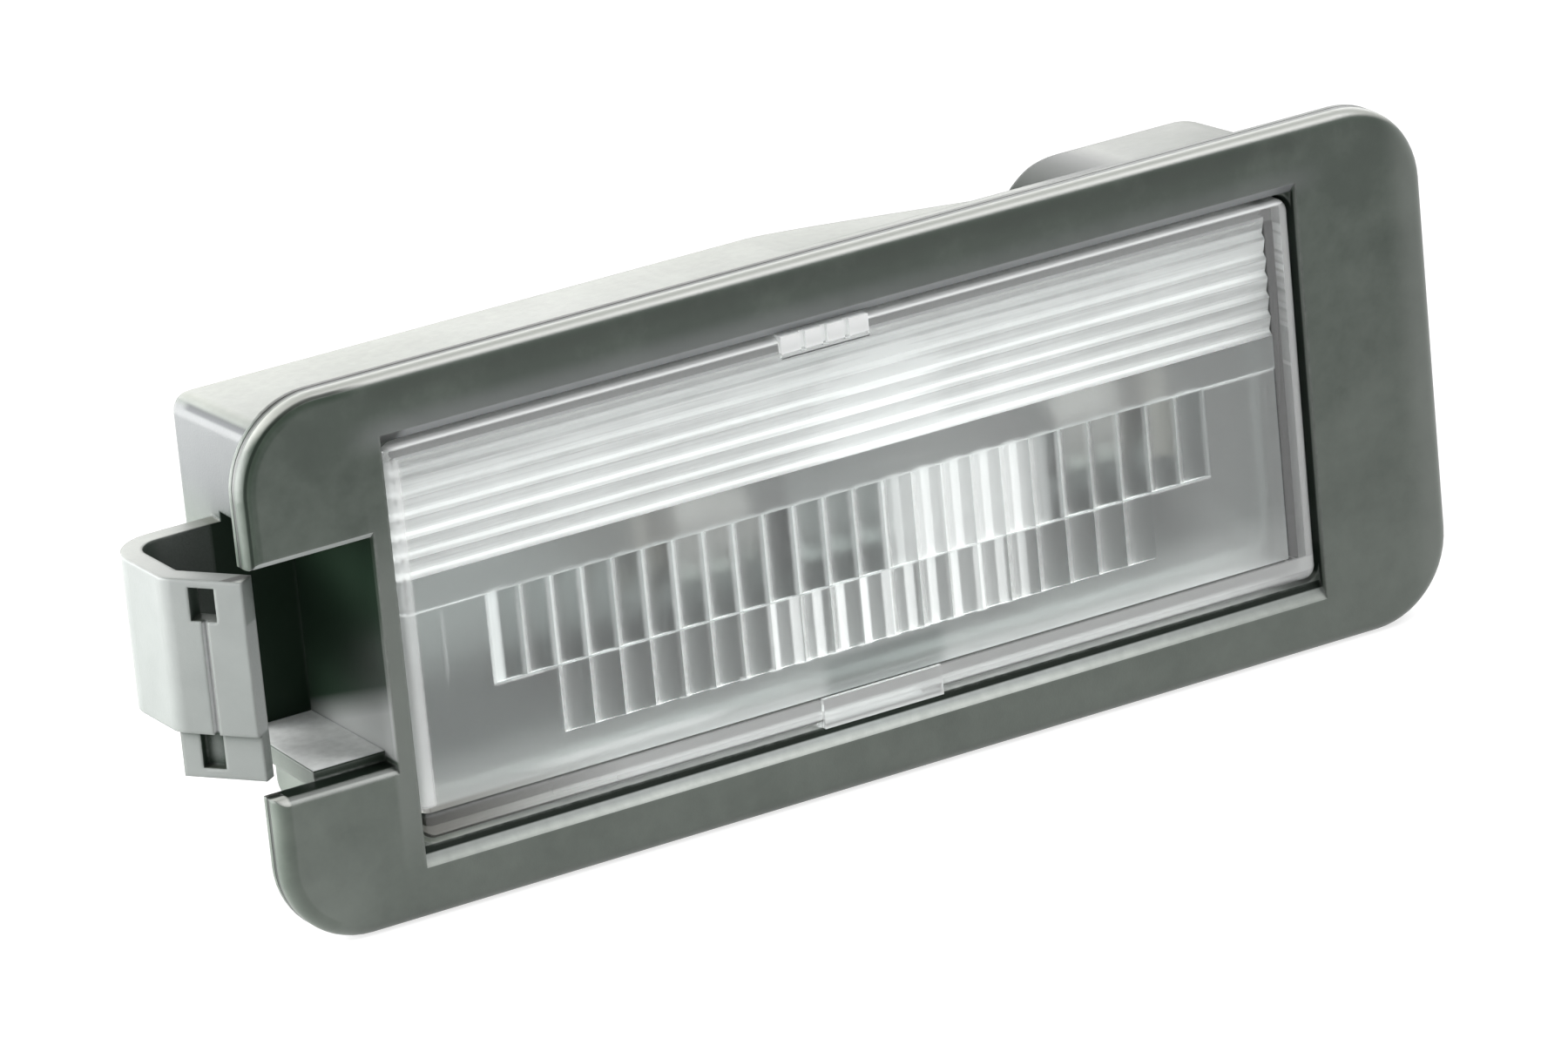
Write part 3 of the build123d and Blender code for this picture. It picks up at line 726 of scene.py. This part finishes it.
    def plain_parts(self):
        """Painted light on the plain back: under the rows, at the right, in the strip and above the prism
        bars, with a painted reflection streak low down.
        """
        painted_glow = self.span(self.z, -7.5, -10.5, 0.08, 0.27)
        painted_glow = self.compute("ADD", painted_glow, self.span(self.x, 20.0, 25.0, 0.0, 0.10))
        painted_glow = self.product(self.back, painted_glow, self.span(self.over_tab, 0.0, 1.0, 1.0, 0.40))
        # Painted reflection: a soft streak low on the plain back.
        streak = self.product(self.back, self.between(self.z, *low_streak_z, 0.3))
        streak = self.product(streak, self.between(self.x, *low_streak_x, 4.0), 0.55)
        strip_left = self.span(self.x, -10.0, 0.0, 0.05, 0.12)
        strip_right = self.span(self.x, 17.0, 22.0, 0.12, 0.19)
        strip = self.product(self.strip, self.largest(strip_left, strip_right))
        above_bars = self.product(self.back, self.between(self.z, prism_z[1], above_bars_high, 0.15), 0.30)
        return self.largest(painted_glow, streak, strip, above_bars)

    def tabs(self):
        """Painted light on the top tab and the lower tab."""
        top_tab = self.product(self.face, self.between(self.x, *top_tab_x, 0.05))
        top_tab = self.product(top_tab, self.above(self.z, top_tab_low, 0.05))
        top_tab = self.product(top_tab, self.span(self.z, 11.9, 12.3, 0.70, 0.80))
        low_tab = self.product(self.below(self.y, low_tab_front, 0.02), self.below(self.z, low_tab_high))
        low_tab = self.product(low_tab, 0.40)
        return self.largest(top_tab, low_tab)

    def rims(self):
        """Painted highlights on the edges round the lens."""
        left = self.product(self.below(self.x, left_rim, 0.15), self.between(self.z, *left_rim_z, 0.2))
        left = self.product(left, self.span(self.z, -6.0, 4.0, 0.45, 0.30))
        right = self.product(self.above(self.x, right_rim, 0.15), 0.32)
        inner_right = self.product(self.face, self.between(self.x, inner_right_rim, right_rim), 0.12)
        top = self.product(self.above(self.z, top_rim, 0.08), 0.75)
        inner_top = self.product(self.face, self.between(self.z, inner_top_rim, top_rim), 0.18)
        inner_low = self.product(self.between(self.z, *inner_low_rim_z, 0.15), 1.4)
        low = self.product(self.face, self.largest(inner_low, self.below(self.z, low_rim)))
        low = self.product(low, self.span(self.x, -31.0, -18.0, 0.10, 0.28))
        skirt = self.product(self.back, self.below(self.z, low_skirt, 0.15))
        skirt = self.product(skirt, self.span(self.x, -31.0, -24.0, 0.10, 0.38))
        return self.largest(left, right, inner_right, top, inner_top, low, skirt)

    def tint(self):
        """Nearly white, with greyer flutes and strip and a brown lower left end."""
        grey_lower = self.product(self.lower, self.below(self.x, grey_lower_right, 2.0), 0.25)
        cells = self.largest(self.upper, grey_lower, self.product(self.strip, 0.5))
        cells = self.product(self.back, cells, self.rest(self.glare))
        cells = self.largest(cells, self.product(self.over_tab, 0.8))
        brown = self.product(self.below(self.z, brown_high, 0.15), self.span(self.x, -31.0, -17.0, 1.0, 0.0))
        clear = self.blend(cells, (0.96, 0.975, 0.97), (0.76, 0.79, 0.785))
        return self.blend(brown, clear, (0.40, 0.39, 0.36))


def clear_lens():
    """Clear moulded plastic, with white frost painted on the prism bars, flute ridges, tabs and rim as
    highlights and as the light that the optics send out.
    """
    made, graph = new_material("clear_lens", LensGraph)
    flutes = graph.largest(graph.flute_ridges(), graph.flute_glints(), graph.flute_ends())
    flutes = graph.product(graph.back, flutes)
    # Painted highlights: the frost whitens the lens where its optics shine.
    painted_highlight_frost = graph.largest(graph.prism_bars(), flutes, graph.plain_parts(), graph.tabs(), graph.rims())
    back_rough = graph.product(graph.back, graph.span(graph.strip, 0.0, 1.0, 0.32, 0.55))
    rough = graph.compute("ADD", graph.span(painted_highlight_frost, 0.0, 1.0, 0.02, 0.4), back_rough)
    surface = graph.add("BsdfPrincipled")
    graph.put(surface, Base_Color=graph.tint(), IOR=1.49, Roughness=rough)
    graph.put(surface, Transmission_Weight=graph.compute("SUBTRACT", 1.0, painted_highlight_frost, True))
    graph.show(graph.clear_to_lamps(surface, (0.97, 0.985, 0.98)))
    return made


# Bulb and metal.
def bulb_glass():
    """Clear glass with a slight unevenness."""
    made, graph = new_material("bulb_glass")
    surface = graph.add("BsdfPrincipled")
    graph.put(surface, Base_Color=(0.98, 0.985, 0.98), IOR=1.5, Transmission_Weight=1.0)
    graph.put(surface, Roughness=graph.vary(graph.noise(400.0), 0.0, 0.04))
    graph.show(graph.clear_to_lamps(surface, (0.95, 0.955, 0.95)))
    return made


def metal(name, tones, roughness, scale):
    """Metal between two tones and two roughnesses, with clouds of a scale per metre."""
    made, graph = new_material(name)
    cloud = graph.noise(scale, 4.0)
    surface = graph.add("BsdfPrincipled")
    graph.put(surface, Base_Color=graph.ramp(cloud, *zip(noise_reach, tones)), Metallic=1.0)
    graph.put(surface, Roughness=graph.vary(cloud, *roughness))
    graph.show(surface.outputs[0])
    return made


silver = ((0.32, 0.352, 0.343), (0.41, 0.447, 0.436))
brass = ((0.42, 0.40, 0.36), (0.54, 0.52, 0.47))
nickel = ((0.38, 0.375, 0.36), (0.47, 0.465, 0.45))
tungsten = ((0.25, 0.25, 0.26), (0.36, 0.36, 0.37))
finishes = {
    "housing_plastic": housing_plastic(),
    "clear_lens": clear_lens(),
    "bulb_glass": bulb_glass(),
    "reflector_silver": metal("reflector_silver", silver, roughness=(0.28, 0.40), scale=120.0),
    "contact_metal": metal("contact_metal", brass, roughness=(0.25, 0.40), scale=500.0),
    "cap_metal": metal("cap_metal", nickel, roughness=(0.20, 0.34), scale=600.0),
    "filament_metal": metal("filament_metal", tungsten, roughness=(0.3, 0.45), scale=3000.0),
}
slot_of = {
    "housing": "housing_plastic",
    "lens": "clear_lens",
    "reflector": "reflector_silver",
    "contact_left": "contact_metal",
    "contact_right": "contact_metal",
    "bulb_glass": "bulb_glass",
    "bulb_cap_left": "cap_metal",
    "bulb_cap_right": "cap_metal",
    "filament": "filament_metal",
    "lead_wire_left": "filament_metal",
    "lead_wire_right": "filament_metal",
}
for name, slot in slot_of.items():
    mesh = nodes[name].data
    mesh.materials.clear()
    mesh.materials.append(finishes[slot])


# Filament: a wound coil in place of the CAD rod.
coil_turns = 28
coil_radius = 0.36 * mm
coil_wire = 0.075 * mm
points_per_turn = 12


def coil(name, turns, radius, wire):
    """A wound wire along X, as long as the CAD filament."""
    low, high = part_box("filament")
    middle = (low + high) / 2
    count = turns * points_per_turn
    curve = bpy.data.curves.new(name, "CURVE")
    curve.dimensions = "3D"
    curve.bevel_depth = wire
    curve.bevel_resolution = 2
    line = curve.splines.new("POLY")
    line.points.add(count)
    for index, point in enumerate(line.points):
        angle = 2 * math.pi * index / points_per_turn
        along = low.x + wire + (high.x - low.x - 2 * wire) * index / count
        point.co = (along, middle.y + radius * math.cos(angle), middle.z + radius * math.sin(angle), 1.0)
    made = bpy.data.objects.new(name, curve)
    scene.collection.objects.link(made)
    curve.materials.append(finishes["filament_metal"])
    return made


filament = coil("filament_coil", coil_turns, coil_radius, coil_wire)
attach(filament, "root")
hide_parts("filament")


# Studio: pale floor under the bezel's lower edge, white surroundings, four soft panels.
floor_reach = 2.5
floor_gap = 0.05 * mm
floor_glow = 0.75
world_light = 0.35
world_shown = 1.0


def pale_floor():
    """Pale matt floor that looks white and still shows the shadow."""
    made, graph = new_material("pale_floor")
    matt = graph.put(graph.add("BsdfDiffuse"), Color=(0.80, 0.80, 0.80))
    shaded = graph.put(graph.add("BsdfDiffuse"), Color=(0.30, 0.30, 0.30))
    white = graph.put(graph.add("Emission"), Strength=floor_glow)
    shown = graph.add("AddShader")
    graph.feed(shown.inputs[0], shaded.outputs[0])
    graph.feed(shown.inputs[1], white.outputs[0])
    graph.show(graph.mix_shaders(graph.shows_background(), matt.outputs[0], shown.outputs[0]))
    return made


floor_mesh = bpy.data.meshes.new("floor")
corners = [(-1, -1), (1, -1), (1, 1), (-1, 1)]
floor_mesh.from_pydata([(x * floor_reach, y * floor_reach, 0) for x, y in corners], [], [(0, 1, 2, 3)])
floor = bpy.data.objects.new("floor", floor_mesh)
scene.collection.objects.link(floor)
floor.location.z = cad_low.z - floor_gap
floor_mesh.materials.append(pale_floor())

world = bpy.data.worlds.new("studio")
scene.world = world
world.use_nodes = True
sky = Graph(world.node_tree)
sky_strength = sky.span(sky.shows_background(), 0.0, 1.0, world_light, world_shown)
background = sky.put(sky.add("Background"), Color=(1.0, 1.0, 1.0), Strength=sky_strength)
sky.show(background.outputs[0], "World")


def panel(name, direction, distance, size, power, aim=(0.0, 0.0, 0.0)):
    """A soft panel lamp of a width and height that faces its aim."""
    data = bpy.data.lights.new(name, "AREA")
    data.shape = "RECTANGLE"
    data.size, data.size_y = size
    data.energy = power
    made = bpy.data.objects.new(name, data)
    scene.collection.objects.link(made)
    centre = Vector(aim)
    made.location = centre + Vector(direction).normalized() * distance
    made.rotation_mode = "QUATERNION"
    made.rotation_quaternion = (centre - made.location).to_track_quat("-Z", "Y")
    made.visible_camera = False


left_notch = (-0.035, 0.0, 0.0)
panel("key", (0.45, -0.33, 0.82), distance=0.9, size=(0.45, 0.45), power=7.0)
panel("back", (0.42, 0.85, 0.40), distance=0.8, size=(1.0, 0.45), power=3.2)
panel("left_side", (-1.0, 0.42, 0.22), distance=0.12, size=(0.14, 0.10), power=0.45, aim=left_notch)
panel("left_back", (-0.55, 0.83, 0.10), distance=0.10, size=(0.12, 0.10), power=0.15, aim=left_notch)
